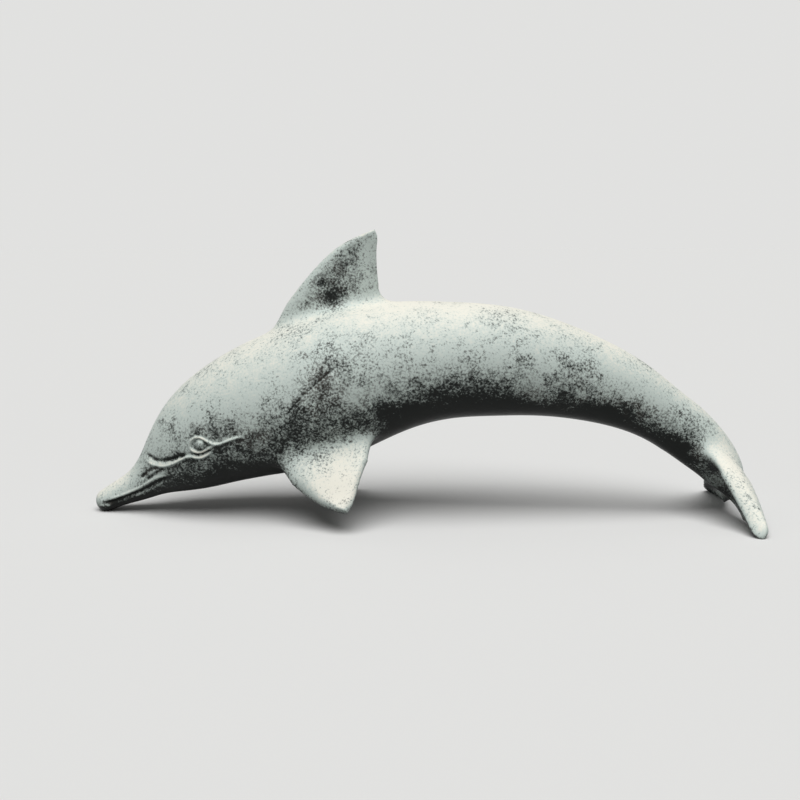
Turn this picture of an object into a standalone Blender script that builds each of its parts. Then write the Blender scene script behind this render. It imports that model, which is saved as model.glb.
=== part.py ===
"""Dolphin paperweight: one solid bronze casting, beak to the left and tail to the right.

It stands on three points, the underside of the beak's end and the tips of the two flukes, and arches
between them. The trunk is a loft of oval sections along a curved spine. The dorsal fin, the flippers and
the flukes are lofts of foil sections. They are joined, melted into one skin with soft roots, carved, and
ground flat where they stand.
Units are metres in Blender. Sizes are in millimetres, and outlines in percent of the length unless a note
says otherwise. +X is the tail, Y is across with the left side at -Y, and +Z is up. The table is at Z = 0,
and the finished casting's box is centred on X = 0.
"""

import math

import bmesh
import bpy
import numpy as np
from mathutils.bvhtree import BVHTree

MM = 0.001

# Driving sizes, in millimetres
LENGTH = 165.0
GIRTH_HEIGHT = 36.6
GIRTH_WIDTH = 33.2
BEAK_ROUNDING = 2.6
DORSAL_HEIGHT = 24.9
DORSAL_CHORD = 30.5
DORSAL_SEAT = 7.5
DORSAL_THICKNESS = 6.4
DORSAL_BEVEL = 2.1
FLIPPER_REACH = 24.0
FLIPPER_THICKNESS = 5.4
FLIPPER_BEVEL = 1.0
FLUKE_SPAN = 51.0
FLUKE_THICKNESS = 5.0
FLUKE_BEVEL = 1.2
FLUKE_BOW = 4.4
DORSAL_ROOT_BLEND = 4.6
FLIPPER_ROOT_BLEND = 6.5
FLUKE_ROOT_BLEND = 7.0
GROOVE_WIDTH = 0.55
GROOVE_DEPTH = 0.6
RIDGE_WIDTH = 0.45
RIDGE_HEIGHT = 0.4
EYE_RADIUS = 1.35
EYE_BULGE = 0.8
SOCKET_RADIUS = 2.4
SOCKET_DEPTH = 0.35

# Trunk sections from beak to tail: x and z of the centre, and half height and half width as shares of half a
# girth.
TRUNK = (
    (-49.8, 0.8, 0.150, 0.190),
    (-48.4, 1.5, 0.158, 0.215),
    (-46.7, 2.4, 0.174, 0.240),
    (-43.0, 4.2, 0.240, 0.313),
    (-40.9, 5.6, 0.317, 0.398),
    (-38.6, 7.3, 0.454, 0.530),
    (-35.2, 9.8, 0.645, 0.687),
    (-31.2, 12.5, 0.787, 0.807),
    (-24.7, 15.6, 0.918, 0.940),
    (-17.7, 18.0, 1.000, 1.000),
    (-9.5, 21.1, 0.978, 0.988),
    (-1.2, 23.1, 0.869, 0.916),
    (5.6, 23.7, 0.798, 0.837),
    (12.2, 23.6, 0.760, 0.765),
    (19.1, 22.7, 0.683, 0.675),
    (25.8, 21.0, 0.590, 0.572),
    (32.9, 18.2, 0.485, 0.464),
    (39.1, 14.4, 0.400, 0.367),
    (43.6, 11.0, 0.385, 0.325),
    (46.9, 7.5, 0.320, 0.301),
    (48.5, 4.8, 0.240, 0.265),
    (49.2, 3.5, 0.130, 0.240),
)
WIDEST_DROP = 0.12

# Dorsal fin from root to tip: shares of its chord from its rear foot, and of its height above that foot.
# The foot is at DORSAL_FOOT along the trunk and DORSAL_SEAT below its back.
DORSAL_FOOT = -5.2
DORSAL_LEADING = (
    (-1.08, -0.44), (-0.87, 0.12), (-0.71, 0.40), (-0.53, 0.66), (-0.32, 0.88), (-0.15, 0.98), (-0.06, 1.03)
)
DORSAL_TRAILING = (
    (0.12, 0.18), (0.045, 0.33), (-0.01, 0.42), (-0.03, 0.52), (-0.04, 0.68), (-0.04, 0.83), (-0.035, 0.96),
    (-0.045, 1.03),
)

# Flipper from root to tip: x, share of its reach from the middle, and z.
FLIPPER_LEADING = (
    (-23.3, 0.34, 13.6), (-21.6, 0.50, 9.4), (-18.8, 0.65, 6.9), (-15.8, 0.77, 4.9), (-12.8, 0.89, 3.6),
    (-10.0, 1.0, 3.2),
)
FLIPPER_TRAILING = (
    (-4.4, 0.34, 16.4), (-5.7, 0.53, 12.5), (-6.9, 0.67, 10.1), (-7.9, 0.80, 7.7), (-8.6, 0.91, 5.3),
    (-9.3, 1.0, 3.5),
)

# Fluke from the middle to its tip: x, share of half the span, and z.
FLUKE_LEADING = (
    (41.8, 0.0, 12.1), (42.8, 0.19, 11.2), (44.8, 0.39, 9.1), (46.5, 0.60, 6.2), (48.0, 0.81, 3.1),
    (48.8, 1.0, 0.8),
)
FLUKE_TRAILING = (
    (48.9, 0.0, 1.6), (49.1, 0.16, 0.8), (49.4, 0.39, 0.4), (49.6, 0.62, 0.2), (49.6, 0.83, -0.2),
    (49.5, 1.0, -0.6),
)

# Foil sections: each fin's share of the chord in its rounded nose, and how much it thins from root to tip.
# Then, for all fins, the thickness lost between nose and bevel, the share of it left at the bevel's edge, the
# share of the span that rounds off at the tip, and the share of a round end's depth where it is closed flat.
DORSAL_NOSE, DORSAL_THINNING = 0.22, 0.66
FLIPPER_NOSE, FLIPPER_THINNING = 0.22, 0.5
FLUKE_NOSE, FLUKE_THINNING = 0.16, 0.25
FOIL_TAPER = 0.45
FOIL_EDGE = 0.35
TIP_SHARE = 0.08
END_SHARE = 0.02

# Carved lines, seen from the side: x and z.
MOUTH = ((-48.8, 1.4), (-46.9, 1.7), (-44.1, 2.8), (-41.2, 4.1), (-38.9, 5.5), (-36.7, 6.5))
LIP = ((-49.3, 1.9), (-46.9, 2.25), (-44.2, 3.25), (-41.6, 4.6), (-39.1, 6.15), (-37.3, 6.8))
MELON_CREASE = ((-41.0, 9.6), (-39.7, 9.0), (-38.3, 8.9), (-36.2, 9.4), (-34.1, 10.3))
CHEEK_RIDGE = (
    (-41.3, 8.7), (-39.9, 8.2), (-37.5, 8.2), (-35.1, 9.3), (-33.5, 9.9), (-32.2, 9.8), (-31.0, 10.2),
    (-29.5, 11.6),
)
LOWER_LID = ((-33.6, 11.4), (-33.0, 10.8), (-32.2, 10.6), (-31.2, 10.9), (-29.4, 12.0))
UPPER_LID = (
    (-33.6, 11.4), (-33.2, 12.4), (-32.3, 12.9), (-31.2, 12.6), (-29.4, 12.0), (-27.6, 12.6), (-25.2, 13.4)
)
POUCH_CREASE = ((-33.2, 10.4), (-32.2, 10.25), (-31.2, 10.6), (-30.2, 11.3))
FIRST_FURROW = ((-42.1, 5.7), (-40.6, 7.0), (-38.6, 8.0))
SECOND_FURROW = ((-41.0, 5.6), (-39.8, 6.5), (-37.8, 7.7))
FLANK_LINE = ((-19.2, 15.8), (-16.7, 18.8), (-10.8, 24.0))
EYE = ((-32.5, 11.7), (-32.0, 11.75), (-31.5, 11.8))

# Grooves with their share of GROOVE_DEPTH, and ridges. Both die away over LINE_FADE of their length, down to
# LINE_END.
GROOVES = (
    (MOUTH, 1.0), (MELON_CREASE, 1.0), (POUCH_CREASE, 0.7), (FIRST_FURROW, 0.6), (SECOND_FURROW, 0.6),
    (FLANK_LINE, 0.4),
)
RIDGES = (LIP, CHEEK_RIDGE, LOWER_LID, UPPER_LID)
LINE_FADE = 0.12
LINE_END = 0.15
LINE_STEP = 0.12

# The skin: its mesh size in millimetres, its smoothing, and the strength of the fillets at the fins' roots,
# which is full within ROOT_CORE of the blend and fades out from there.
SKIN_STEP = 0.45
SKIN_SMOOTHING = 0.5
ROOT_STRENGTH = 0.6
ROOT_CORE = 0.375

# The finished mesh: triangles in all, the share of them on one side of the head, where the head ends, the
# shortest edges kept on the middle plane and on the feet's rims and the gap welded between the halves, in
# millimetres, and the angle from which an edge is sharp, in degrees.
TRIANGLES = 11200
HEAD_TRIANGLES = 0.2
HEAD_END = -24.0
MIDDLE_EDGE = 0.022
RIM_EDGE = 0.09
WELD = 0.0045
SHARP_ANGLE = 40.0

# Verdigris over dark bronze
PATINA = (0.17, 0.21, 0.20, 1.0)
PATINA_ROUGHNESS = 0.48
PATINA_METALLIC = 0.35


def percent(value):
    """A size in millimetres from a share of the length in percent."""
    return value * LENGTH / 100


def spline(knots, values, at):
    """Natural cubic spline through the values at the knots, read at the places in at."""
    gap = np.diff(knots)
    slope = np.diff(values, axis=0) / gap[:, None]
    system = np.eye(len(knots))
    right = np.zeros_like(values)
    for i in range(1, len(knots) - 1):
        system[i, i - 1 : i + 2] = gap[i - 1], 2 * (gap[i - 1] + gap[i]), gap[i]
        right[i] = 6 * (slope[i] - slope[i - 1])
    bend = np.linalg.solve(system, right)
    i = np.clip(np.searchsorted(knots, at) - 1, 0, len(knots) - 2)
    t = (at - knots[i])[:, None]
    width = gap[i][:, None]
    rise = slope[i] - width * (2 * bend[i] + bend[i + 1]) / 6
    return values[i] + t * (rise + t * (bend[i] / 2 + t * (bend[i + 1] - bend[i]) / (6 * width)))


def curve(points, shares):
    """The smooth curve through the points, read at shares of its length."""
    points = np.array(points, float)
    knots = np.concatenate([[0], np.cumsum(np.linalg.norm(np.diff(points, axis=0), axis=1))])
    return spline(knots, points, shares * knots[-1])


def tube(rings, name):
    """A closed solid through rings of points, given in millimetres as (rings, points, 3)."""
    count, around = rings.shape[:2]
    start = np.arange(count - 1)[:, None] * around
    here, after = np.arange(around), np.roll(np.arange(around), -1)
    sides = np.stack([start + here, start + after, start + around + after, start + around + here], -1)
    ends = [list(range(around)), list(range((count - 1) * around, count * around))]
    mesh = bpy.data.meshes.new(name)
    mesh.from_pydata((rings.reshape(-1, 3) * MM).tolist(), [], sides.reshape(-1, 4).tolist() + ends)
    shape = bmesh.new()
    shape.from_mesh(mesh)
    bmesh.ops.recalc_face_normals(shape, faces=shape.faces)
    shape.to_mesh(mesh)
    shape.free()
    return bpy.data.objects.new(name, mesh)


def dome(share, end=0.0):
    """Width of a round end at a share of its depth, closed flat at the share given as its end."""
    return np.sqrt(1 - (1 - np.clip(share, end, 1)) ** 2)


def trunk_sections(count=120, crowding=1.15):
    """The trunk's centres, half heights and half widths, close together at the beak, and the spine's run."""
    size = np.array([percent(1), percent(1), GIRTH_HEIGHT / 2, GIRTH_WIDTH / 2])
    sections = curve(np.array(TRUNK) * size, np.linspace(0, 1, count) ** crowding)
    along = np.gradient(sections[:, :2], axis=0)
    return sections, along / np.linalg.norm(along, axis=1)[:, None]


def back_height(x):
    """Height of the trunk's back at x."""
    sections, along = trunk_sections()
    back = sections[:, :2] + along[:, ::-1] * np.array([-1, 1]) * sections[:, 2:3]
    return np.interp(x, *back[back[:, 0].argsort()].T)


def trunk(around=48):
    """Oval sections square to the spine, widest a little below the middle, rounded off at the beak's end."""
    sections, along = trunk_sections()
    run = np.cumsum(np.linalg.norm(np.diff(sections[:, :2], axis=0, prepend=sections[:1, :2]), axis=1))
    x, z, high, wide = sections.T[:, :, None] * np.ones(around)
    rounding = dome(run / BEAK_ROUNDING, END_SHARE)[:, None]
    angle = np.linspace(0, 2 * math.pi, around, endpoint=False)
    up = high * rounding * (np.sin(angle) - WIDEST_DROP * np.cos(angle) ** 2)
    across = wide * rounding * np.cos(angle)
    return tube(np.stack([x - along[:, 1:] * up, across, z + along[:, :1] * up], -1), "trunk")


def blade(edges, thickness, thinning, nose, bevel, bow=0.0, sections=28, along_chord=20):
    """Rings of a fin from its root to its rounded tip, between its leading and trailing edges, in
    millimetres. Each section is a foil: round in front, tapering to a bevel behind, and bowed off its chord.
    The bow is that of the longest chord, and shorter chords bow less."""
    out = np.sin(np.linspace(0, math.pi / 2, sections))
    front, back = [curve(edge, out) for edge in edges]
    chord = back - front
    length = np.linalg.norm(chord, axis=1)[:, None]
    face = np.cross(chord, np.gradient((front + back) / 2, axis=0))
    steady = np.maximum.accumulate(np.where(length[:, 0] > thickness / 2, np.arange(sections), 0))
    face = (face / np.maximum(np.linalg.norm(face, axis=1)[:, None], MM))[steady]
    closing = dome((1 - out) / TIP_SHARE, END_SHARE)[:, None]
    c = (1 - np.cos(np.linspace(0, math.pi, along_chord)))[None, :] / 2
    taper = 1 - FOIL_TAPER * np.clip((c - nose) / (1 - nose), 0, 1)
    behind = FOIL_EDGE + (1 - FOIL_EDGE) * np.clip((1 - c) * length / bevel, 0, 1)
    half = thickness / 2 * (1 - thinning * out)[:, None] * closing * dome(c / nose) * taper * behind
    bowed = bow * closing * length / length.max() * 4 * c * (1 - c)
    centre = (front + back)[:, None] / 2 + (chord * closing)[:, None] * (c - 0.5)[..., None]
    over = centre + face[:, None] * (bowed + half)[..., None]
    under = centre + face[:, None] * (bowed - half)[..., None]
    return np.concatenate([over, under[:, -2:0:-1]], 1)


def dorsal_fin():
    foot = np.array([percent(DORSAL_FOOT), back_height(percent(DORSAL_FOOT)) - DORSAL_SEAT])
    size = np.array([DORSAL_CHORD, DORSAL_HEIGHT])
    flat = [foot + np.array(edge) * size for edge in (DORSAL_LEADING, DORSAL_TRAILING)]
    edges = [np.insert(edge, 1, 0, axis=1) for edge in flat]
    return tube(blade(edges, DORSAL_THICKNESS, DORSAL_THINNING, DORSAL_NOSE, DORSAL_BEVEL), "dorsal_fin")


def flipper(side, name):
    size = np.array([percent(1), side * FLIPPER_REACH, percent(1)])
    edges = [np.array(edge) * size for edge in (FLIPPER_LEADING, FLIPPER_TRAILING)]
    return tube(blade(edges, FLIPPER_THICKNESS, FLIPPER_THINNING, FLIPPER_NOSE, FLIPPER_BEVEL), name)


def flukes():
    """Both flukes in one loft from tip to tip, bowed away from the belly."""
    size = np.array([percent(1), FLUKE_SPAN / 2, percent(1)])
    edges = [np.array(edge) * size for edge in (FLUKE_LEADING, FLUKE_TRAILING)]
    right = blade(edges, FLUKE_THICKNESS, FLUKE_THINNING, FLUKE_NOSE, FLUKE_BEVEL, FLUKE_BOW)
    left = right[:0:-1] * np.array([1, -1, 1])
    return tube(np.concatenate([left, right]), "flukes")


def work_in(obj):
    """Works an object's modifiers into its mesh."""
    graph = bpy.context.evaluated_depsgraph_get()
    mesh = bpy.data.meshes.new_from_object(obj.evaluated_get(graph))
    obj.modifiers.clear()
    obj.data = mesh


def read_points(mesh):
    points = np.empty(len(mesh.vertices) * 3)
    mesh.vertices.foreach_get("co", points)
    return points.reshape(-1, 3) / MM


def write_points(mesh, points):
    mesh.vertices.foreach_set("co", (points * MM).ravel())
    mesh.update()


def relaxed(mesh, points, strength, rounds):
    """The points, each drawn towards the mean of its neighbours by its strength, a number of times over."""
    ends = np.empty(len(mesh.edges) * 2, np.int32)
    mesh.edges.foreach_get("vertices", ends)
    one, other = np.concatenate([ends.reshape(-1, 2), ends.reshape(-1, 2)[:, ::-1]]).T
    neighbours = np.bincount(one, minlength=len(points))[:, None]
    for _ in range(rounds):
        total = np.stack([np.bincount(one, points[other, axis], len(points)) for axis in range(3)], -1)
        points = points + strength * (total / neighbours - points)
    return points


def nearest(obj, points):
    """The nearest points of the object's surface, and how far off they are, in millimetres."""
    tree = BVHTree.FromPolygons([v.co for v in obj.data.vertices], [p.vertices for p in obj.data.polygons])
    found = [tree.find_nearest(point) for point in points * MM]
    places = np.array([place for place, _, _, _ in found])
    gaps = np.array([gap for _, _, _, gap in found])
    return places / MM, gaps / MM


def restore_edges(casting, forms, rounds=3):
    """Lays the skin back on the forms under it, from a step outside, so that their edges come out clean."""
    outside = read_points(casting.data) + np.array([v.normal for v in casting.data.vertices]) * SKIN_STEP
    places, gaps = zip(*[nearest(form, outside) for form in forms])
    points = np.array(places)[np.argmin(gaps, axis=0), np.arange(len(outside))]
    write_points(casting.data, relaxed(casting.data, points, SKIN_SMOOTHING, rounds))


def soften_roots(casting, body, fins):
    """Fillets where each fin leaves the trunk, wider where its blend is wider."""
    points = read_points(casting.data)
    from_body = nearest(body, points)[1]
    for fin, blend in fins:
        reach = np.maximum(from_body, nearest(fin, points)[1]) / blend
        strength = ROOT_STRENGTH * np.clip((1 - reach) / (1 - ROOT_CORE), 0, 1)[:, None]
        points = relaxed(casting.data, points, strength, int((blend / SKIN_STEP) ** 2 / 2))
    write_points(casting.data, points)


def traced(casting, line):
    """Close points along a carved line, laid on the casting's left side."""
    flat = percent(np.array(line))
    count = int(np.linalg.norm(np.diff(flat, axis=0), axis=1).sum() / LINE_STEP)
    found = []
    for x, z in curve(flat, np.linspace(0, 1, count)):
        hit, place, _, _ = casting.ray_cast((x * MM, -LENGTH * MM, z * MM), (0, 1, 0))
        if hit:
            found.append(place)
    return np.array(found) / MM


def bump(casting, points, line, width, height):
    """Height at each point of a soft ridge along the line, fading at its ends and negative for a groove."""
    trace = traced(casting, line)
    margin = 3 * width
    near = np.nonzero(((points > trace.min(0) - margin) & (points < trace.max(0) + margin)).all(1))[0]
    gaps = np.linalg.norm(points[near, None] - trace[None], axis=2)
    share = gaps.argmin(1) / (len(trace) - 1)
    fade = np.clip(np.minimum(share, 1 - share) / LINE_FADE, LINE_END, 1)
    raised = np.zeros(len(points))
    raised[near] = height * fade * np.exp(-((gaps.min(1) / width) ** 2))
    return raised


def refine_head(casting):
    """Splits the faces in front of HEAD_END, so that the carved lines have enough points."""
    shape = bmesh.new()
    shape.from_mesh(casting.data)
    edges = [edge for edge in shape.edges if max(v.co.x for v in edge.verts) < percent(HEAD_END) * MM]
    bmesh.ops.subdivide_edges(shape, edges=edges, cuts=1, use_grid_fill=True)
    bmesh.ops.triangulate(shape, faces=[face for face in shape.faces if len(face.verts) > 4])
    shape.to_mesh(casting.data)
    shape.free()


def thin_out(casting):
    """Merges faces down to the half's share of TRIANGLES, the trunk and fins first, then the carved head."""
    head_end = percent(HEAD_END) * MM
    behind = [v.index for v in casting.data.vertices if v.co.x > head_end]
    casting.vertex_groups.new(name="behind").add(behind, 1.0, "REPLACE")
    head = sum(len(face.vertices) - 2 for face in casting.data.polygons if face.center.x <= head_end)
    for target, of_head in ((head + TRIANGLES * (0.5 - HEAD_TRIANGLES), False), (TRIANGLES / 2, True)):
        fewer = casting.modifiers.new("fewer", "DECIMATE")
        fewer.ratio = target / sum(len(face.vertices) - 2 for face in casting.data.polygons)
        fewer.vertex_group = "behind"
        fewer.invert_vertex_group = of_head
        fewer.vertex_group_factor = 1000
        work_in(casting)


def carve(casting):
    """Cuts the mouth and creases and raises the lids and the eyeball, on the left half."""
    points = read_points(casting.data)
    normals = np.array([v.normal for v in casting.data.vertices])
    eye = traced(casting, EYE).mean(0)
    from_eye = np.linalg.norm(points - eye, axis=1)
    raised = EYE_BULGE * np.sqrt(np.clip(1 - (from_eye / EYE_RADIUS) ** 2, 0, 1))
    raised -= SOCKET_DEPTH * np.exp(-((from_eye / SOCKET_RADIUS) ** 4))
    for line, share in GROOVES:
        raised += bump(casting, points, line, GROOVE_WIDTH, -GROOVE_DEPTH * share)
    for line in RIDGES:
        raised += bump(casting, points, line, RIDGE_WIDTH, RIDGE_HEIGHT)
    write_points(casting.data, points + normals * raised[:, None])


def cut(shape, outward):
    """Cuts away what lies beyond the plane through the origin."""
    everything = shape.verts[:] + shape.edges[:] + shape.faces[:]
    bmesh.ops.bisect_plane(shape, geom=everything, plane_co=(0, 0, 0), plane_no=outward, clear_outer=True)


def cut_half(casting):
    """Keeps the left half of the casting."""
    half = bmesh.new()
    half.from_mesh(casting.data)
    cut(half, (0, 1, 0))
    half.to_mesh(casting.data)
    half.free()


def mirror_half(casting):
    """Sets the half's open edge exactly on the middle plane and adds the right half."""
    half = bmesh.new()
    half.from_mesh(casting.data)
    for vertex in half.verts:
        if vertex.is_boundary:
            vertex.co.y = 0
    flat = [face for face in half.faces if all(vertex.co.y == 0 for vertex in face.verts)]
    bmesh.ops.delete(half, geom=flat, context="FACES")
    bmesh.ops.dissolve_degenerate(half, edges=half.edges, dist=MIDDLE_EDGE * MM)
    half.to_mesh(casting.data)
    half.free()
    mirror = casting.modifiers.new("right half", "MIRROR")
    mirror.use_axis = (False, True, False)
    mirror.merge_threshold = WELD * MM
    work_in(casting)


def grind_feet(casting):
    """Cuts the casting flat where it stands on the table, and closes the cuts."""
    shape = bmesh.new()
    shape.from_mesh(casting.data)
    cut(shape, (0, 0, -1))
    rim = [vertex for vertex in shape.verts if vertex.is_boundary]
    bmesh.ops.remove_doubles(shape, verts=rim, dist=RIM_EDGE * MM)
    bmesh.ops.holes_fill(shape, edges=[edge for edge in shape.edges if edge.is_boundary], sides=0)
    bmesh.ops.recalc_face_normals(shape, faces=shape.faces)
    bmesh.ops.triangulate(shape, faces=shape.faces)
    shape.to_mesh(casting.data)
    shape.free()


def centre_box(casting):
    """Moves the casting along X until its box is centred on the origin."""
    points = read_points(casting.data)
    points[:, 0] -= (points[:, 0].min() + points[:, 0].max()) / 2
    write_points(casting.data, points)


def main():
    for old in list(bpy.data.objects):
        bpy.data.objects.remove(old)
    collection = bpy.data.collections.new("dolphin_paperweight")
    forms = bpy.data.collections.new("joined_forms")
    for group in (collection, forms):
        bpy.context.scene.collection.children.link(group)

    body = trunk()
    fins = [(dorsal_fin(), DORSAL_ROOT_BLEND), (flipper(-1, "left_flipper"), FLIPPER_ROOT_BLEND),
            (flipper(1, "right_flipper"), FLIPPER_ROOT_BLEND), (flukes(), FLUKE_ROOT_BLEND)]
    for form in [body] + [fin for fin, _ in fins]:
        forms.objects.link(form)
    casting = bpy.data.objects.new("dolphin", body.data.copy())
    collection.objects.link(casting)
    for fin, _ in fins:
        join = casting.modifiers.new(fin.name, "BOOLEAN")
        join.operation = "UNION"
        join.object = fin
    melt = casting.modifiers.new("melt", "REMESH")
    melt.mode = "VOXEL"
    melt.voxel_size = SKIN_STEP * MM
    work_in(casting)
    restore_edges(casting, forms.objects)
    soften_roots(casting, body, fins)
    for form in list(forms.objects):
        bpy.data.objects.remove(form)
    bpy.data.collections.remove(forms)

    cut_half(casting)
    refine_head(casting)
    carve(casting)
    thin_out(casting)
    mirror_half(casting)
    grind_feet(casting)
    centre_box(casting)

    material = bpy.data.materials.new("patinated_bronze")
    material.use_nodes = True
    surface = material.node_tree.nodes["Principled BSDF"]
    surface.inputs["Base Color"].default_value = PATINA
    surface.inputs["Roughness"].default_value = PATINA_ROUGHNESS
    surface.inputs["Metallic"].default_value = PATINA_METALLIC
    casting.data.materials.clear()
    casting.data.materials.append(material)
    casting.data.shade_smooth()
    casting.data.set_sharp_from_angle(angle=math.radians(SHARP_ANGLE))


main()
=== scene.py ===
"""Dolphin paperweight: the finished surface and verdigris patina of the bronze casting, on a studio floor.

Lengths are in millimetres in the shape functions, and in metres in the finished meshes and the panel.
Outlines are in percent of the casting's length. +X runs from beak to tail, +Y to the dolphin's right side
and +Z up.
"""

import math

import bmesh
import bpy
import numpy as np
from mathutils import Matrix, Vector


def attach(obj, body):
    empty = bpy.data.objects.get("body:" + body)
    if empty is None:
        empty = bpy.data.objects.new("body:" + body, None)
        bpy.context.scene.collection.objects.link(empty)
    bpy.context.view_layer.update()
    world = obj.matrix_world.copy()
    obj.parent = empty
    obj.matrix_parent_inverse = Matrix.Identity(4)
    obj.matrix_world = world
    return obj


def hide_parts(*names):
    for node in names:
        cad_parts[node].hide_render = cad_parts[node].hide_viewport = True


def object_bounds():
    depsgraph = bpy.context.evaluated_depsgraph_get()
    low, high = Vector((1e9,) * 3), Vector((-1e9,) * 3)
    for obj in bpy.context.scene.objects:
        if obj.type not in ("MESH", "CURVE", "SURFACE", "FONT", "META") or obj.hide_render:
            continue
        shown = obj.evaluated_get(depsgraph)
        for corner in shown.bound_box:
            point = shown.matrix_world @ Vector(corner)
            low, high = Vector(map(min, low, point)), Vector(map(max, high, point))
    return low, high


bl_info = {
    "name": "Dolphin Paperweight",
    "version": (1, 0, 0),
    "blender": (4, 5, 0),
    "location": "3D View > Sidebar > Dolphin",
    "description": "Builds a patinated bronze dolphin paperweight and its studio stage",
    "category": "Add Mesh",
}

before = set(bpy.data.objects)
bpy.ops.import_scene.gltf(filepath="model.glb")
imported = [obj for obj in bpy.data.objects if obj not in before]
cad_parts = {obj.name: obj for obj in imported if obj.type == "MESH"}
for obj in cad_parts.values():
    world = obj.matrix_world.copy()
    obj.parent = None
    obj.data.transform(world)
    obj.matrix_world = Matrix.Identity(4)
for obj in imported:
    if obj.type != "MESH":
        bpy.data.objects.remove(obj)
CAD_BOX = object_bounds()

MM = 0.001
CAD_LENGTH = (CAD_BOX[1].x - CAD_BOX[0].x) / MM
CAD_WIDTH = (CAD_BOX[1].y - CAD_BOX[0].y) / MM

# The outlines reach a little past their own length and span, which the rounded tips then take back.
LENGTH = CAD_LENGTH / 1.0050
FLUKE_SPAN = CAD_WIDTH * 1.0016
GIRTH_HEIGHT = 36.6
GIRTH_WIDTH = 33.2
BEAK_ROUNDING = 2.6
DORSAL_HEIGHT = 24.9
DORSAL_CHORD = 30.5
DORSAL_SEAT = 7.5
DORSAL_THICKNESS = 6.4
DORSAL_BEVEL = 2.1
FLIPPER_REACH = 24.0
FLIPPER_THICKNESS = 5.4
FLIPPER_BEVEL = 1.0
FLUKE_THICKNESS = 5.0
FLUKE_BEVEL = 1.2
FLUKE_BOW = 4.4
DORSAL_ROOT_BLEND = 4.6
FLIPPER_ROOT_BLEND = 6.5
FLUKE_ROOT_BLEND = 7.0

# Trunk sections from beak to tail: x and z of the centre, and half height and half width as shares of half a
# girth.
TRUNK = (
    (-49.8, 0.8, 0.150, 0.190),
    (-48.4, 1.5, 0.158, 0.215),
    (-46.7, 2.4, 0.174, 0.240),
    (-43.0, 4.2, 0.240, 0.313),
    (-40.9, 5.6, 0.317, 0.398),
    (-38.6, 7.3, 0.454, 0.530),
    (-35.2, 9.8, 0.645, 0.687),
    (-31.2, 12.5, 0.787, 0.807),
    (-24.7, 15.6, 0.918, 0.940),
    (-17.7, 18.0, 1.000, 1.000),
    (-9.5, 21.1, 0.978, 0.988),
    (-1.2, 23.1, 0.869, 0.916),
    (5.6, 23.7, 0.798, 0.837),
    (12.2, 23.6, 0.760, 0.765),
    (19.1, 22.7, 0.683, 0.675),
    (25.8, 21.0, 0.590, 0.572),
    (32.9, 18.2, 0.485, 0.464),
    (39.1, 14.4, 0.400, 0.367),
    (43.6, 11.0, 0.385, 0.325),
    (46.9, 7.5, 0.320, 0.301),
    (48.5, 4.8, 0.240, 0.265),
    (49.2, 3.5, 0.130, 0.240),
)
WIDEST_DROP = 0.12

# Dorsal fin from root to tip: shares of its chord from its rear foot, and of its height above that foot.
DORSAL_FOOT = -5.2
DORSAL_LEADING = (
    (-1.08, -0.44), (-0.87, 0.12), (-0.71, 0.40), (-0.53, 0.66), (-0.32, 0.88), (-0.15, 0.98), (-0.06, 1.03)
)
DORSAL_TRAILING = (
    (0.12, 0.18), (0.045, 0.33), (-0.01, 0.42), (-0.03, 0.52), (-0.04, 0.68), (-0.04, 0.83), (-0.035, 0.96),
    (-0.045, 1.03),
)

# Flipper from root to tip: x, share of its reach from the middle, and z.
FLIPPER_LEADING = (
    (-23.3, 0.34, 13.6), (-21.6, 0.50, 9.4), (-18.8, 0.65, 6.9), (-15.8, 0.77, 4.9), (-12.8, 0.89, 3.6),
    (-10.0, 1.0, 3.2),
)
FLIPPER_TRAILING = (
    (-4.4, 0.34, 16.4), (-5.7, 0.53, 12.5), (-6.9, 0.67, 10.1), (-7.9, 0.80, 7.7), (-8.6, 0.91, 5.3),
    (-9.3, 1.0, 3.5),
)

# Fluke from the middle to its tip: x, share of half the span, and z.
FLUKE_LEADING = (
    (41.8, 0.0, 12.1), (42.8, 0.19, 11.2), (44.8, 0.39, 9.1), (46.5, 0.60, 6.2), (48.0, 0.81, 3.1),
    (48.8, 1.0, 0.8),
)
FLUKE_TRAILING = (
    (48.9, 0.0, 1.6), (49.1, 0.16, 0.8), (49.4, 0.39, 0.4), (49.6, 0.62, 0.2), (49.6, 0.83, -0.2),
    (49.5, 1.0, -0.6),
)

# Foil sections: each fin's share of the chord in its rounded nose, and how much it thins from root to tip.
# Then, for all fins, the thickness lost between nose and bevel, the share of it left at the bevel's edge, the
# share of the span that rounds off at the tip, and the share of a round end's depth where it is closed flat.
DORSAL_NOSE, DORSAL_THINNING = 0.22, 0.66
FLIPPER_NOSE, FLIPPER_THINNING = 0.22, 0.5
FLUKE_NOSE, FLUKE_THINNING = 0.16, 0.25
FOIL_TAPER = 0.45
FOIL_EDGE = 0.35
TIP_SHARE = 0.08
END_SHARE = 0.02

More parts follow.
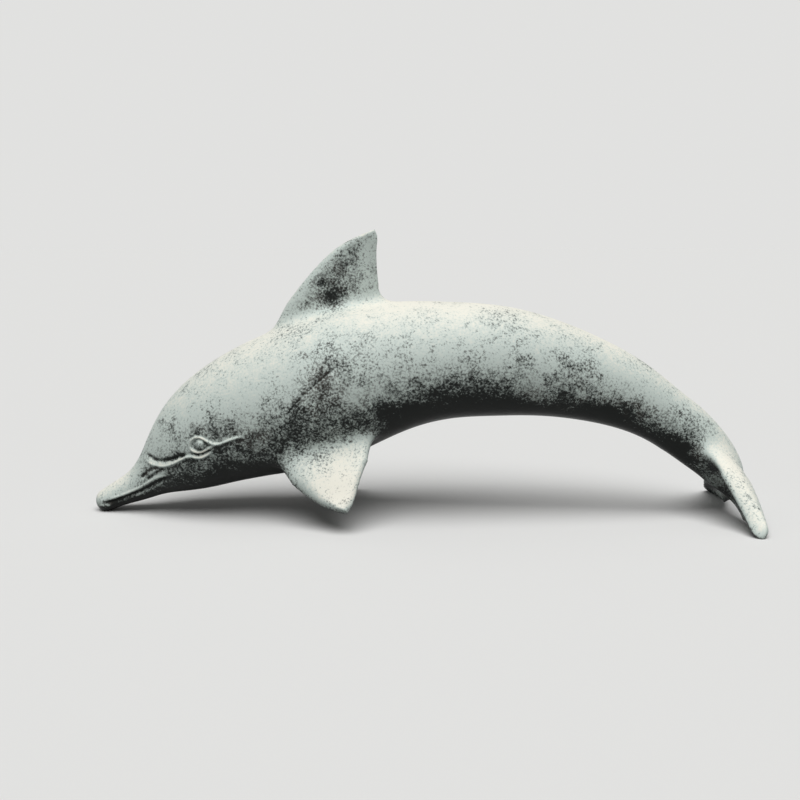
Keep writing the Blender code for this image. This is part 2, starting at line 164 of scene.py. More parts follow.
# Carved lines, seen from the side: x and z.
MOUTH = ((-48.8, 1.4), (-46.9, 1.7), (-44.1, 2.8), (-41.2, 4.1), (-38.9, 5.5), (-36.7, 6.5))
LIP = ((-47.6, 2.1), (-46.0, 2.6), (-44.2, 3.3), (-41.6, 4.65), (-39.1, 6.15), (-37.3, 6.8))
MELON_CREASE = ((-41.0, 9.6), (-39.7, 9.0), (-38.3, 8.9), (-36.2, 9.4), (-34.1, 10.3))
CHEEK_RIDGE = (
    (-41.3, 8.7), (-39.9, 8.2), (-37.5, 8.2), (-35.1, 9.3), (-33.5, 9.9), (-32.2, 9.8), (-31.0, 10.2),
    (-29.5, 11.6),
)
LOWER_LID = ((-33.6, 11.4), (-33.0, 10.8), (-32.2, 10.6), (-31.2, 10.9), (-29.4, 12.0))
UPPER_LID = (
    (-33.6, 11.4), (-33.2, 12.4), (-32.3, 12.9), (-31.2, 12.6), (-29.4, 12.0), (-27.6, 12.6), (-25.2, 13.4)
)
POUCH_CREASE = ((-33.2, 10.4), (-32.2, 10.25), (-31.2, 10.6), (-30.2, 11.3))
FIRST_FURROW = ((-42.1, 5.7), (-40.6, 7.0), (-38.6, 8.0))
SECOND_FURROW = ((-41.0, 5.6), (-39.8, 6.5), (-37.8, 7.7))
FLANK_LINE = ((-19.2, 15.8), (-16.7, 18.8), (-10.8, 24.0))
EYE = ((-32.5, 11.7), (-32.0, 11.75), (-31.5, 11.8))

# Grooves and ridges with their share of the full depth or height. Both die away over LINE_FADE of their
# length, down to LINE_END.
GROOVES = (
    (MOUTH, 1.0), (MELON_CREASE, 1.0), (POUCH_CREASE, 0.7), (FIRST_FURROW, 0.6), (SECOND_FURROW, 0.6),
    (FLANK_LINE, 0.3),
)
RIDGES = ((LIP, 0.6), (CHEEK_RIDGE, 0.8), (LOWER_LID, 1.0), (UPPER_LID, 1.0))
GROOVE_WIDTH = 0.45
RIDGE_WIDTH = 0.34
EYE_RADIUS = 1.35
EYE_BULGE = 0.8
SOCKET_RADIUS = 2.4
SOCKET_DEPTH = 0.35
LINE_FADE = 0.12
LINE_END = 0.15
LINE_STEP = 0.1

# The skin: mesh size, smoothing, root fillets as in the solid, and the triangles that are kept. It is split
# once more where it is within REFINE_WIDTH of a carved line, down to a nearness of REFINE_FROM.
SKIN_STEP = 0.36
SKIN_ROUNDS = 4
SKIN_SMOOTHING = 0.5
ROOT_STRENGTH = 0.6
ROOT_CORE = 0.375
KEPT_TRIANGLES = 190000
REFINE_WIDTH = 3 * GROOVE_WIDTH
REFINE_FROM = 0.05


# Places where the colour is pulled towards pale verdigris or dark bronze: x and z of the middle, reach along
# and up, and the amount, below zero where the dark bronze shows. The dark ones under the jaw, above the eye,
# low on the flank and under the tail stock by the flukes are painted shade; the pale ones on the flipper and
# on the flukes' leading edge are partly patina and partly painted highlight. The rest darken or lighten the
# patina in patches.
PATCHES_AND_PAINTED_LIGHT = (
    (-13.2, 21.6, 3.0, 4.2, -0.62), (-16.5, 17.5, 2.6, 2.6, -0.25), (24.6, 22.9, 2.4, 1.9, -0.34),
    (-24.5, 13.6, 6.5, 1.8, -0.24), (-31.5, 14.4, 2.4, 1.0, -0.30), (-44.5, 1.0, 7.0, 1.2, -0.40),
    (-10.5, 6.2, 5.5, 3.8, 0.80), (-13.0, 12.6, 4.0, 2.5, 0.28), (47.0, 7.0, 3.0, 5.0, 0.25),
    (29.5, 16.4, 5.5, 1.9, -0.50), (39.0, 10.0, 4.0, 2.6, -0.70), (-45.0, 4.6, 3.5, 1.5, 0.20),
    (-49.2, 2.2, 0.9, 0.9, 0.40), (-12.5, 34.5, 4.5, 5.5, -0.42), (-7.6, 38.0, 0.9, 6.5, 0.45),
    (8.0, 17.2, 14.0, 1.6, -0.40), (-37.0, 14.5, 3.5, 4.0, -0.04),
)
SCRATCH_WIDTH = 0.22

# The skin is measured against itself smoothed, for its bulges, and its readings are spread to the points
# around them: the strength and rounds of each.
BULGE_SMOOTHING, BULGE_ROUNDS = 0.6, 12
SPREAD = 0.5
BULGE_SPREAD_ROUNDS, UPWARD_SPREAD_ROUNDS = 4, 10

# The patina's blotches from large to small and its scratch swirls, in metres
CLOUD_SIZE = 0.009
MOTTLE_SIZE = 0.0028
GRAIN_SIZE = 0.00055
SWIRL_SIZE = 0.0042
PIT_DEPTH = 0.00012


def percent(value):
    """A size in millimetres from a share of the length in percent."""
    return value * LENGTH / 100


def spline(knots, values, at):
    """Natural cubic spline through the values at the knots, read at the places in at."""
    gap = np.diff(knots)
    slope = np.diff(values, axis=0) / gap[:, None]
    system = np.eye(len(knots))
    right = np.zeros_like(values)
    for i in range(1, len(knots) - 1):
        system[i, i - 1 : i + 2] = gap[i - 1], 2 * (gap[i - 1] + gap[i]), gap[i]
        right[i] = 6 * (slope[i] - slope[i - 1])
    bend = np.linalg.solve(system, right)
    i = np.clip(np.searchsorted(knots, at) - 1, 0, len(knots) - 2)
    t = (at - knots[i])[:, None]
    width = gap[i][:, None]
    rise = slope[i] - width * (2 * bend[i] + bend[i + 1]) / 6
    return values[i] + t * (rise + t * (bend[i] / 2 + t * (bend[i + 1] - bend[i]) / (6 * width)))


def curve(points, shares):
    """The smooth curve through the points, read at shares of its length."""
    points = np.array(points, float)
    knots = np.concatenate([[0], np.cumsum(np.linalg.norm(np.diff(points, axis=0), axis=1))])
    return spline(knots, points, shares * knots[-1])


def dome(share, end=0.0):
    """Width of a round end at a share of its depth: a quarter circle, closed flat at its end share."""
    return np.sqrt(1 - (1 - np.clip(share, end, 1)) ** 2)


def trunk_sections(count=240, crowding=1.15):
    """The trunk's centres, half heights and half widths, close together at the beak, and the spine's run."""
    size = np.array([percent(1), percent(1), GIRTH_HEIGHT / 2, GIRTH_WIDTH / 2])
    sections = curve(np.array(TRUNK) * size, np.linspace(0, 1, count) ** crowding)
    along = np.gradient(sections[:, :2], axis=0)
    return sections, along / np.linalg.norm(along, axis=1)[:, None]


def back_height(x):
    """Height of the trunk's back at x."""
    sections, along = trunk_sections()
    back = sections[:, :2] + along[:, ::-1] * np.array([-1, 1]) * sections[:, 2:3]
    return np.interp(x, *back[back[:, 0].argsort()].T)


def trunk(around=96):
    """Rings of ovals square to the spine: up is the half height times sine less a drop times cosine squared,
    so that the ring is widest below its middle, and across is the half width times cosine. The beak's end is
    a dome."""
    sections, along = trunk_sections()
    run = np.cumsum(np.linalg.norm(np.diff(sections[:, :2], axis=0, prepend=sections[:1, :2]), axis=1))
    x, z, high, wide = sections.T[:, :, None] * np.ones(around)
    rounding = dome(run / BEAK_ROUNDING, END_SHARE)[:, None]
    angle = np.linspace(0, 2 * math.pi, around, endpoint=False)
    up = high * rounding * (np.sin(angle) - WIDEST_DROP * np.cos(angle) ** 2)
    across = wide * rounding * np.cos(angle)
    return np.stack([x - along[:, 1:] * up, across, z + along[:, :1] * up], -1)


def blade(edges, thickness, thinning, nose, bevel, bow=0.0, sections=70, along_chord=44):
    """Rings of a fin from root to tip between its leading and trailing edges. Across the chord the half
    thickness is a quarter circle over the nose, then a straight taper, then a bevel, and the section is bowed
    by a parabola in proportion to the chord."""
    out = np.sin(np.linspace(0, math.pi / 2, sections))
    front, back = [curve(edge, out) for edge in edges]
    chord = back - front
    length = np.linalg.norm(chord, axis=1)[:, None]
    face = np.cross(chord, np.gradient((front + back) / 2, axis=0))
    steady = np.maximum.accumulate(np.where(length[:, 0] > thickness / 2, np.arange(sections), 0))
    face = (face / np.maximum(np.linalg.norm(face, axis=1)[:, None], MM))[steady]
    closing = dome((1 - out) / TIP_SHARE, END_SHARE)[:, None]
    c = (1 - np.cos(np.linspace(0, math.pi, along_chord)))[None, :] / 2
    taper = 1 - FOIL_TAPER * np.clip((c - nose) / (1 - nose), 0, 1)
    behind = FOIL_EDGE + (1 - FOIL_EDGE) * np.clip((1 - c) * length / bevel, 0, 1)
    half = thickness / 2 * (1 - thinning * out)[:, None] * closing * dome(c / nose) * taper * behind
    bowed = bow * closing * length / length.max() * 4 * c * (1 - c)
    centre = (front + back)[:, None] / 2 + (chord * closing)[:, None] * (c - 0.5)[..., None]
    over = centre + face[:, None] * (bowed + half)[..., None]
    under = centre + face[:, None] * (bowed - half)[..., None]
    return np.concatenate([over, under[:, -2:0:-1]], 1)


def dorsal_fin():
    """The dorsal fin's rings, standing on the back."""
    foot = np.array([percent(DORSAL_FOOT), back_height(percent(DORSAL_FOOT)) - DORSAL_SEAT])
    size = np.array([DORSAL_CHORD, DORSAL_HEIGHT])
    flat = [foot + np.array(edge) * size for edge in (DORSAL_LEADING, DORSAL_TRAILING)]
    edges = [np.insert(edge, 1, 0, axis=1) for edge in flat]
    return blade(edges, DORSAL_THICKNESS, DORSAL_THINNING, DORSAL_NOSE, DORSAL_BEVEL)


def flipper(side):
    """One flipper's rings, side being -1 for the left and 1 for the right."""
    size = np.array([percent(1), side * FLIPPER_REACH, percent(1)])
    edges = [np.array(edge) * size for edge in (FLIPPER_LEADING, FLIPPER_TRAILING)]
    return blade(edges, FLIPPER_THICKNESS, FLIPPER_THINNING, FLIPPER_NOSE, FLIPPER_BEVEL)


def flukes():
    """Both flukes' rings from tip to tip, the left half being the right one mirrored."""
    size = np.array([percent(1), FLUKE_SPAN / 2, percent(1)])
    edges = [np.array(edge) * size for edge in (FLUKE_LEADING, FLUKE_TRAILING)]
    right = blade(edges, FLUKE_THICKNESS, FLUKE_THINNING, FLUKE_NOSE, FLUKE_BEVEL, FLUKE_BOW)
    return np.concatenate([right[:0:-1] * np.array([1, -1, 1]), right])


def grid_object(name, grids):
    """One object of closed tubes, each a grid of (rings, points) with flat ends, facing outwards."""
    corners, faces, offset = [], [], 0
    for rings in grids:
        count, around = rings.shape[:2]
        start = np.arange(count - 1)[:, None] * around + offset
        here, after = np.arange(around), np.roll(np.arange(around), -1)
        sides = np.stack([start + here, start + after, start + around + after, start + around + here], -1)
        ends = [(here + offset).tolist(), (here + offset + (count - 1) * around).tolist()]
        corners.append(rings.reshape(-1, 3))
        faces += sides.reshape(-1, 4).tolist() + ends
        offset += count * around
    mesh = bpy.data.meshes.new(name)
    mesh.from_pydata(np.concatenate(corners) * MM, [], faces)
    shape = bmesh.new()
    shape.from_mesh(mesh)
    bmesh.ops.recalc_face_normals(shape, faces=shape.faces)
    shape.to_mesh(mesh)
    shape.free()
    piece = bpy.data.objects.new(name, mesh)
    bpy.context.scene.collection.objects.link(piece)
    return piece


def work_in(piece, **modifiers):
    """Works one modifier into the piece's mesh; each keyword is a modifier type with its settings."""
    for kind, settings in modifiers.items():
        added = piece.modifiers.new(kind, kind)
        for name, value in settings.items():
            setattr(added, name, value)
    graph = bpy.context.evaluated_depsgraph_get()
    mesh = bpy.data.meshes.new_from_object(piece.evaluated_get(graph))
    piece.modifiers.clear()
    piece.data = mesh


def read_points(mesh):
    """A mesh's points in millimetres."""
    points = np.empty(len(mesh.vertices) * 3, np.float32)
    mesh.vertices.foreach_get("co", points)
    return points.reshape(-1, 3).astype(float) / MM


def write_points(mesh, points):
    """Puts points in millimetres into a mesh."""
    mesh.vertices.foreach_set("co", (points * MM).astype(np.float32).ravel())
    mesh.update()


def read_normals(mesh):
    """A mesh's point normals."""
    normals = np.empty(len(mesh.vertices) * 3, np.float32)
    mesh.vertex_normals.foreach_get("vector", normals)
    return normals.reshape(-1, 3).astype(float)


def relaxed(mesh, values, strength, rounds):
    """The values at the points, each drawn towards its neighbours' mean by its strength, some times over."""
    ends = np.empty(len(mesh.edges) * 2, np.int32)
    mesh.edges.foreach_get("vertices", ends)
    one, other = np.concatenate([ends.reshape(-1, 2), ends.reshape(-1, 2)[:, ::-1]]).T
    neighbours = np.bincount(one, minlength=len(values))[:, None]
    for _ in range(rounds):
        total = np.stack([np.bincount(one, column[other], len(values)) for column in values.T], -1)
        values = values + strength * (total / neighbours - values)
    return values


def laid_on(mesh, points, target):
    """The nearest points of the target's surface."""
    helper = bpy.data.objects.new("helper", mesh.copy())
    bpy.context.scene.collection.objects.link(helper)
    write_points(helper.data, points)
    work_in(helper, SHRINKWRAP={"target": target})
    found = read_points(helper.data)
    bpy.data.objects.remove(helper)
    return found


def traced(casting, line):
    """Close points along a carved line, laid on the casting's left side."""
    flat = percent(np.array(line))
    count = int(np.linalg.norm(np.diff(flat, axis=0), axis=1).sum() / LINE_STEP)
    starts = [(x * MM, -LENGTH * MM, z * MM) for x, z in curve(flat, np.linspace(0, 1, count))]
    places = [casting.ray_cast(start, (0, 1, 0))[:2] for start in starts]
    return np.array([place for hit, place in places if hit]) / MM


def nearness(points, trace, width):
    """How close each point is to the traced line: one on it, falling off as a bell of the width, and fading
    at the line's ends."""
    margin = 3 * width
    near = np.nonzero(((points > trace.min(0) - margin) & (points < trace.max(0) + margin)).all(1))[0]
    gaps = np.linalg.norm(points[near, None] - trace[None], axis=2)
    share = gaps.argmin(1) / (len(trace) - 1)
    fade = np.clip(np.minimum(share, 1 - share) / LINE_FADE, LINE_END, 1)
    found = np.zeros(len(points))
    found[near] = fade * np.exp(-((gaps.min(1) / width) ** 2))
    return found


def on_left(points):
    """The points, those on the right side turned over to the left, where the carved lines are traced."""
    return points * np.array([1, 0, 1]) - np.abs(points) * np.array([0, 1, 0])


def cast_skin():
    """The joined forms as one skin: melted together, laid back on the forms for clean edges, and softened at
    the roots of the fins."""
    body = grid_object("body_form", [trunk()])
    fins = [
        (grid_object("dorsal_form", [dorsal_fin()]), DORSAL_ROOT_BLEND),
        (grid_object("left_flipper_form", [flipper(-1)]), FLIPPER_ROOT_BLEND),
        (grid_object("right_flipper_form", [flipper(1)]), FLIPPER_ROOT_BLEND),
        (grid_object("fluke_form", [flukes()]), FLUKE_ROOT_BLEND),
    ]
    whole = grid_object("whole_form", [trunk(), dorsal_fin(), flipper(-1), flipper(1), flukes()])
    casting = bpy.data.objects.new("dolphin_casting", whole.data.copy())
    bpy.context.scene.collection.objects.link(casting)
    work_in(casting, REMESH={"mode": "VOXEL", "voxel_size": SKIN_STEP * MM})
    for _ in range(2):
        outside = read_points(casting.data) + read_normals(casting.data) * SKIN_STEP
        points = laid_on(casting.data, outside, whole)
        write_points(casting.data, relaxed(casting.data, points, SKIN_SMOOTHING, SKIN_ROUNDS))
    points = read_points(casting.data)
    from_body = np.linalg.norm(points - laid_on(casting.data, points, body), axis=1)
    for fin, blend in fins:
        from_fin = np.linalg.norm(points - laid_on(casting.data, points, fin), axis=1)
        reach = np.maximum(from_body, from_fin) / blend
        strength = ROOT_STRENGTH * np.clip((1 - reach) / (1 - ROOT_CORE), 0, 1)[:, None]
        points = relaxed(casting.data, points, strength, int((blend / SKIN_STEP) ** 2 / 2))
    write_points(casting.data, points)
    for form in [body, whole] + [fin for fin, _ in fins]:
        bpy.data.objects.remove(form)
    return casting


def refine(casting, lines):
    """Splits the faces near the carved lines, so that these come out crisp."""
    points = on_left(read_points(casting.data))
    close = np.zeros(len(points))
    for line in lines:
        close = np.maximum(close, nearness(points, line, REFINE_WIDTH))
    shape = bmesh.new()
    shape.from_mesh(casting.data)
    shape.verts.ensure_lookup_table()
    edges = [edge for edge in shape.edges if min(close[corner.index] for corner in edge.verts) > REFINE_FROM]
    bmesh.ops.subdivide_edges(shape, edges=edges, cuts=1, use_grid_fill=True)
    bmesh.ops.triangulate(shape, faces=[face for face in shape.faces if len(face.verts) > 4])
    shape.to_mesh(casting.data)
    shape.free()


def carve(casting, form):
    """Cuts the grooves, raises the ridges and the eyeball on both sides, and returns the traced lines."""
    grooves = [(traced(casting, line), share) for line, share in GROOVES]
    ridges = [(traced(casting, line), share) for line, share in RIDGES]
    eye = traced(casting, EYE).mean(0)
    refine(casting, [line for line, _ in grooves + ridges])
    points = read_points(casting.data)
    left = on_left(points)
    from_eye = np.linalg.norm(left - eye, axis=1)
    raised = EYE_BULGE * np.sqrt(np.clip(1 - (from_eye / EYE_RADIUS) ** 2, 0, 1))
    raised -= SOCKET_DEPTH * np.exp(-((from_eye / SOCKET_RADIUS) ** 4))
    for line, share in grooves:
        raised -= form.groove_depth / MM * share * nearness(left, line, GROOVE_WIDTH)
    for line, share in ridges:
        raised += form.ridge_height / MM * share * nearness(left, line, RIDGE_WIDTH)
    write_points(casting.data, points + read_normals(casting.data) * raised[:, None])
    return grooves, ridges, eye


def grind_feet(casting):
    """Cuts the casting flat at the table and closes the cuts."""
    shape = bmesh.new()
    shape.from_mesh(casting.data)
    everything = shape.verts[:] + shape.edges[:] + shape.faces[:]
    bmesh.ops.bisect_plane(shape, geom=everything, plane_co=(0, 0, 0), plane_no=(0, 0, -1), clear_outer=True)
    rim = [vertex for vertex in shape.verts if vertex.is_boundary]
    bmesh.ops.remove_doubles(shape, verts=rim, dist=SKIN_STEP / 5 * MM)
    bmesh.ops.holes_fill(shape, edges=[edge for edge in shape.edges if edge.is_boundary], sides=0)
    bmesh.ops.recalc_face_normals(shape, faces=shape.faces)
    bmesh.ops.triangulate(shape, faces=shape.faces)
    shape.to_mesh(casting.data)
    shape.free()


def mark(casting, name, values):
    """Stores a value at each point for the patina to read."""
    casting.data.attributes.new(name, "FLOAT", "POINT").data.foreach_set("value", values.astype(np.float32))


def mark_patina(casting, grooves, ridges, eye):
    """Stores where the skin is carved and raised, bulges or hollows, faces up and is scratched, and the
    listed patches, painted shade and painted highlight among them.
    """
    points = read_points(casting.data)
    left = on_left(points)
    normals = read_normals(casting.data)
    for name, lines, width in (("cut", grooves, GROOVE_WIDTH), ("raised", ridges, RIDGE_WIDTH)):
        mark(casting, name, np.max([share * nearness(left, line, width) for line, share in lines], axis=0))
    mark(casting, "eye", np.exp(-((np.linalg.norm(left - eye, axis=1) / EYE_RADIUS) ** 4)))
    mark(casting, "scratch", nearness(left, traced(casting, FLANK_LINE), SCRATCH_WIDTH))
    # Patches of the patina, with painted shade and painted highlight among them as listed with the table.
    patches_and_painted_light = np.zeros(len(points))
    for x, z, along, up, amount in PATCHES_AND_PAINTED_LIGHT:
        away = (points[:, [0, 2]] / percent(1) - (x, z)) / (along, up)
        patches_and_painted_light += amount * np.exp(-(away**2).sum(1))
    mark(casting, "patches_and_painted_light", patches_and_painted_light)
    # Bulges later make the colour paler as painted highlight, and hollows make it darker as painted shade.
    bulge = ((points - relaxed(casting.data, points, BULGE_SMOOTHING, BULGE_ROUNDS)) * normals).sum(1)
    mark(casting, "bulge", relaxed(casting.data, bulge[:, None], SPREAD, BULGE_SPREAD_ROUNDS)[:, 0])
    mark(casting, "upward", relaxed(casting.data, normals[:, 2:3], SPREAD, UPWARD_SPREAD_ROUNDS)[:, 0])


def centre_box(casting):
    """Moves the casting along X until its box is centred on the origin."""
    points = read_points(casting.data)
    points[:, 0] -= (points[:, 0].min() + points[:, 0].max()) / 2
    write_points(casting.data, points)


class Wire:
    """A shader socket whose sums and products add the Math nodes that work them out."""

    def __init__(self, finish, socket):
        self.finish = finish
        self.socket = socket

    def maths(self, operation, *others):
        return self.finish.node("ShaderNodeMath", {"operation": operation}, dict(enumerate((self, *others))))

    def __add__(self, other):
        return self.maths("ADD", other)

    def __sub__(self, other):
        return self.maths("SUBTRACT", other)

    def __rsub__(self, other):
        return (self * -1) + other

    def __mul__(self, other):
        return self.maths("MULTIPLY", other)

    def __abs__(self):
        return self.maths("ABSOLUTE")

    __radd__ = __add__
    __rmul__ = __mul__


class Finish:
    """A material or a world and its shader nodes."""

    def __init__(self, name, kind):
        self.block = kind.new(name)
        self.block.use_nodes = True
        self.tree = self.block.node_tree
        self.surface = self.tree.nodes.get("Principled BSDF")

    def node(self, kind, settings, inputs, output=0):
        """Adds a node, sets it, and feeds its sockets with values or wires."""
        made = self.tree.nodes.new(kind)
        for name, value in settings.items():
            setattr(made, name, value)
        for name, value in inputs.items():
            self.feed(made.inputs[name], value)
        return Wire(self, made.outputs[output])

    def feed(self, socket, value):
        if isinstance(value, Wire):
            self.tree.links.new(value.socket, socket)
        else:
            socket.default_value = value

    def marked(self, name):
        """A value stored at the piece's points."""
        return self.node("ShaderNodeAttribute", {"attribute_name": name}, {}, "Fac")

    def noise(self, place, size, detail=4.0, roughness=0.6, distortion=0.0):
        """Cloudy noise from 0 to 1 whose blotches are about this size in metres."""
        inputs = {"Vector": place, "Scale": 1 / size, "Detail": detail}
        inputs.update({"Roughness": roughness, "Distortion": distortion})
        return self.node("ShaderNodeTexNoise", {}, inputs)

    def ease(self, value, low, high):
        """Zero below low, one above high, and a smooth step between."""
        inputs = {0: value, 1: low, 2: high, 3: 0.0, 4: 1.0}
        return self.node("ShaderNodeMapRange", {"interpolation_type": "SMOOTHSTEP"}, inputs)

    def blend(self, factor, under, over):
        """One colour over another by a factor."""
        return self.node("ShaderNodeMix", {"data_type": "RGBA"}, {0: factor, 6: under, 7: over}, 2)


def patina_finish(patina):
    """Dark bronze under mottled verdigris: heavy and creamy where the skin faces up, speckled and thin on the
    flanks, and gone below, partly as the patina lies and partly painted highlight on top and painted shade
    underneath. It gathers on ridges, edges and bulges as painted highlight and is missing from the grooves
    and hollows as painted shade."""
    finish = Finish("patinated_bronze", bpy.data.materials)
    place = finish.node("ShaderNodeTexCoord", {}, {}, "Object")
    upward, bulge, patches_and_painted_light = finish.marked("upward"), finish.marked("bulge"), finish.marked("patches_and_painted_light")
    raised, cut, scratch, eye = [finish.marked(name) for name in ("raised", "cut", "scratch", "eye")]
    clouds = finish.noise(place, CLOUD_SIZE, 4.0, 0.6, 0.5)
    mottle = finish.noise(place, MOTTLE_SIZE, 5.0, 0.7, 0.4)
    grain = finish.noise(place, GRAIN_SIZE, 3.0, 0.75)
    swirl = finish.noise(place, SWIRL_SIZE, 3.0, 0.6, 2.2)
    lines = finish.ease(abs(swirl - 0.5), 0.022, 0.004) * finish.ease(clouds, 0.44, 0.6)

    speckle = 1.2 * (clouds - 0.5) + 1.3 * (mottle - 0.5) + 2.4 * (grain - 0.5)
    # More verdigris where the skin faces up and none below: partly the patina, partly painted highlight on
    # the top and painted shade on the underside. Bulges add to it as painted highlight and hollows take it
    # away as painted shade; the listed patches add dark and pale, some of it painted shade and painted
    # highlight.
    cover_and_painted_light = 0.62 + 1.0 * upward + patches_and_painted_light + speckle + 0.34 * lines + 1.4 * bulge
    # Ridges add verdigris as painted highlight and grooves take it away as painted shade; the scratch and the
    # eye change it as marks of the casting itself.
    cover_and_painted_light = cover_and_painted_light + 1.1 * raised + 0.5 * scratch - 1.0 * cut - 0.2 * eye
    verdigris = finish.ease(cover_and_painted_light, 0.12, 1.02)
    # The pale chalky top follows the upward faces and the ridges: partly patina and partly painted sheen from
    # the lamp above.
    cream_and_sheen = finish.ease(0.75 * upward + 0.9 * raised + 0.55 * patches_and_painted_light + 0.5 * speckle, 0.25, 0.85)
    # The bare bronze turns warmer brown where it faces up, partly a painted warm highlight.
    dark = finish.blend(finish.ease(clouds + 0.3 * upward, 0.42, 0.75), patina.bronze, patina.brown)
    crust_and_sheen = finish.blend(cream_and_sheen, patina.verdigris, patina.cream_and_sheen)
    pale = finish.blend(finish.ease(speckle, -0.05, -0.75), crust_and_sheen, patina.brown)
    finish.feed(finish.surface.inputs["Base Color"], finish.blend(verdigris, dark, pale))
    finish.feed(finish.surface.inputs["Roughness"], patina.roughness + 0.16 * verdigris)
    finish.feed(finish.surface.inputs["Metallic"], 0.5 - 0.45 * verdigris)
    finish.feed(finish.surface.inputs["Specular IOR Level"], 0.25)
    inputs = {"Strength": 0.3, "Distance": PIT_DEPTH, "Height": 0.5 * mottle + 0.5 * grain}
    finish.feed(finish.surface.inputs["Normal"], finish.node("ShaderNodeBump", {}, inputs))
    return finish.block


# The camera as solved from the photograph, where it stands before the casting is centred, and its two turns.
# Then the floor, the share of its light that the casting gets back, how strongly the backdrop shows so that
# it meets the floor, and the lamp's spread and lean in degrees.
CAMERA_FOCUS = 51.75
CAMERA_DISTANCE = 288.0
CAMERA_HEIGHT = 71.9
CAMERA_ASIDE = -4.0
CAMERA_PITCH = 8.5
CAMERA_YAW = 1.33
CENTRE_SHIFT = 0.5
FLOOR_RADIUS = 4.0
FLOOR_GAP = 0.00002
FLOOR_RETURN = 0.14
BACKDROP = 0.943
LAMP_SPREAD = 60.0
LAMP_LEAN = 22.0


def add_camera():
    """The photograph's viewpoint: a little above the casting, square to its left side but for a small yaw."""
    yaw = math.radians(CAMERA_YAW)
    data = bpy.data.cameras.new("camera")
    data.lens = CAMERA_FOCUS
    data.clip_start = 0.01
    camera = bpy.data.objects.new("camera", data)
    across = CAMERA_ASIDE * math.cos(yaw) + CAMERA_DISTANCE * math.sin(yaw) - CENTRE_SHIFT
    back = CAMERA_ASIDE * math.sin(yaw) - CAMERA_DISTANCE * math.cos(yaw)
    camera.location = (across * MM, back * MM, CAMERA_HEIGHT * MM)
    camera.rotation_euler = (math.radians(90 - CAMERA_PITCH), 0, yaw)
    bpy.context.scene.collection.objects.link(camera)
    bpy.context.scene.camera = camera


def shown_to_eye(finish):
    """One for rays from the camera and for reflections, and zero for the light that the casting receives."""
    seen = [
        finish.node("ShaderNodeLightPath", {}, {}, name)
        for name in ("Is Camera Ray", "Is Glossy Ray", "Is Transmission Ray")
    ]
    return finish.node("ShaderNodeMath", {"operation": "MINIMUM"}, {0: seen[0] + seen[1] + seen[2], 1: 1.0})


def floor_finish(colour):
    """A matte floor, pale to the eye, that gives little light back to the casting's underside."""
    finish = Finish("studio_floor", bpy.data.materials)
    dim = [part * FLOOR_RETURN for part in colour[:3]] + [1.0]
    finish.feed(finish.surface.inputs["Base Color"], finish.blend(shown_to_eye(finish), dim, list(colour)))
    finish.feed(finish.surface.inputs["Roughness"], 1.0)
    finish.feed(finish.surface.inputs["Specular IOR Level"], 0.0)
    return finish.block


def add_light(studio):
    """A broad soft lamp above, and a backdrop as pale as the floor to the eye, which lights all round."""
    data = bpy.data.lights.new("overhead", "SUN")
    data.energy = studio.overhead
    data.angle = math.radians(LAMP_SPREAD)
    lamp = bpy.data.objects.new("overhead", data)
    lamp.rotation_euler = (math.radians(LAMP_LEAN), 0, 0)
    bpy.context.scene.collection.objects.link(lamp)
    backdrop = Finish("studio", bpy.data.worlds)
    glow = backdrop.tree.nodes["Background"]
    backdrop.feed(glow.inputs["Color"], studio.floor)
    backdrop.feed(glow.inputs["Strength"], studio.fill + (BACKDROP - studio.fill) * shown_to_eye(backdrop))
    bpy.context.scene.world = backdrop.block


class DOLPHIN_form(bpy.types.PropertyGroup):
    """Sizes of the carving that the solid doesn't fix."""

    groove_depth: bpy.props.FloatProperty(
        name="Groove depth", description="Depth of the mouth line and the creases", default=0.0006, min=0.0,
        unit="LENGTH", precision=5,
    )
    ridge_height: bpy.props.FloatProperty(
        name="Ridge height", description="Height of the lids, the lip and the cheek ridge", default=0.00045,
        min=0.0, unit="LENGTH", precision=5,
    )


class DOLPHIN_patina(bpy.types.PropertyGroup):
    """Colours and gloss of the bronze and its verdigris."""

    bronze: bpy.props.FloatVectorProperty(
        name="Bronze", description="Darkest bare bronze", default=(0.011, 0.013, 0.012, 1.0), size=4,
        subtype="COLOR", min=0.0, max=1.0,
    )
    brown: bpy.props.FloatVectorProperty(
        name="Brown", description="Warm brown oxide", default=(0.055, 0.047, 0.041, 1.0), size=4,
        subtype="COLOR", min=0.0, max=1.0,
    )
    verdigris: bpy.props.FloatVectorProperty(
        name="Verdigris", description="Blue-green patina", default=(0.66, 0.745, 0.70, 1.0), size=4,
        subtype="COLOR", min=0.0, max=1.0,
    )
    # This pale colour is the chalky patina on top and also painted sheen, the overhead lamp's broad highlight
    # painted in.
    cream_and_sheen: bpy.props.FloatVectorProperty(
        name="Cream", description="Pale chalky patina on top", default=(0.90, 0.88, 0.78, 1.0), size=4,
        subtype="COLOR", min=0.0, max=1.0,
    )
    roughness: bpy.props.FloatProperty(
        name="Roughness", description="Roughness of the bare bronze", default=0.4, min=0.0, max=1.0,
        subtype="FACTOR",
    )


class DOLPHIN_studio(bpy.types.PropertyGroup):
    """The floor and the light."""

    floor: bpy.props.FloatVectorProperty(
        name="Floor", description="Colour of the floor and backdrop", default=(0.80, 0.80, 0.79, 1.0), size=4,
        subtype="COLOR", min=0.0, max=1.0,
    )
    overhead: bpy.props.FloatProperty(
        name="Overhead lamp", description="Strength of the soft lamp above", default=2.6, min=0.0,
    )
    fill: bpy.props.FloatProperty(
        name="Fill", description="Strength of the even light all round", default=0.22, min=0.0,
    )


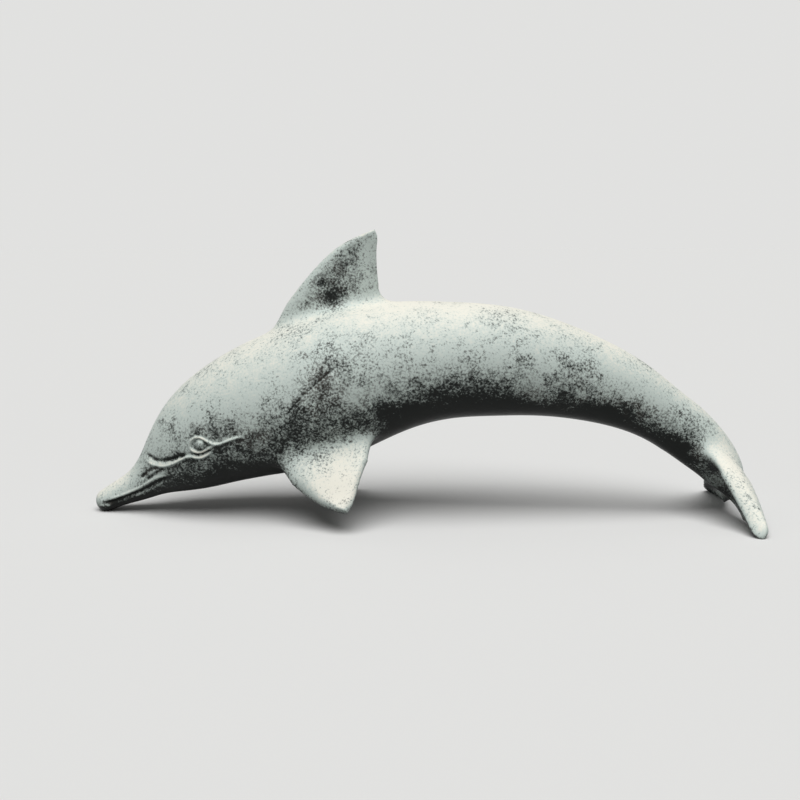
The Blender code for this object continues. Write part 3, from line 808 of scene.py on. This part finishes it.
class DOLPHIN_OT_casting(bpy.types.Operator):
    """Builds the bronze casting with its carving and patina in place of the solid"""

    bl_idname = "dolphin.casting"
    bl_label = "Casting"

    def execute(self, context):
        scene = context.scene
        casting = cast_skin()
        grooves, ridges, eye = carve(casting, scene.dolphin_form)
        faces = sum(len(face.vertices) - 2 for face in casting.data.polygons)
        work_in(casting, DECIMATE={"ratio": min(1.0, KEPT_TRIANGLES / faces)})
        grind_feet(casting)
        mark_patina(casting, grooves, ridges, eye)
        centre_box(casting)
        casting.data.shade_smooth()
        casting.data.materials.clear()
        casting.data.materials.append(patina_finish(scene.dolphin_patina))
        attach(casting, "root")
        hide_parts("dolphin")
        return {"FINISHED"}


class DOLPHIN_OT_stage(bpy.types.Operator):
    """Adds the pale floor, the soft light and the camera"""

    bl_idname = "dolphin.stage"
    bl_label = "Stage"

    def execute(self, context):
        studio = context.scene.dolphin_studio
        bpy.ops.mesh.primitive_circle_add(
            vertices=96, radius=FLOOR_RADIUS, fill_type="NGON", location=(0, 0, -FLOOR_GAP)
        )
        floor = context.object
        floor.name = "floor"
        floor.data.materials.append(floor_finish(studio.floor))
        add_light(studio)
        add_camera()
        context.scene.view_settings.view_transform = "Standard"
        return {"FINISHED"}


class DOLPHIN_PT_panel(bpy.types.Panel):
    """Lists the sizes, the colours and the build steps"""

    bl_idname = "DOLPHIN_PT_panel"
    bl_label = "Dolphin Paperweight"
    bl_space_type = "VIEW_3D"
    bl_region_type = "UI"
    bl_category = "Dolphin"

    def draw(self, context):
        scene = context.scene
        for group in (scene.dolphin_form, scene.dolphin_patina, scene.dolphin_studio):
            box = self.layout.box()
            for name in group.bl_rna.properties.keys():
                if name not in ("rna_type", "name"):
                    box.prop(group, name)
        self.layout.operator("dolphin.casting")
        self.layout.operator("dolphin.stage")


CLASSES = (
    DOLPHIN_form, DOLPHIN_patina, DOLPHIN_studio, DOLPHIN_OT_casting, DOLPHIN_OT_stage, DOLPHIN_PT_panel,
)


def register():
    for made in CLASSES:
        bpy.utils.register_class(made)
    bpy.types.Scene.dolphin_form = bpy.props.PointerProperty(type=DOLPHIN_form)
    bpy.types.Scene.dolphin_patina = bpy.props.PointerProperty(type=DOLPHIN_patina)
    bpy.types.Scene.dolphin_studio = bpy.props.PointerProperty(type=DOLPHIN_studio)


def unregister():
    del bpy.types.Scene.dolphin_form
    del bpy.types.Scene.dolphin_patina
    del bpy.types.Scene.dolphin_studio
    for made in reversed(CLASSES):
        bpy.utils.unregister_class(made)


def main():
    register()
    bpy.ops.dolphin.casting()
    bpy.ops.dolphin.stage()


if __name__ == "__main__":
    main()
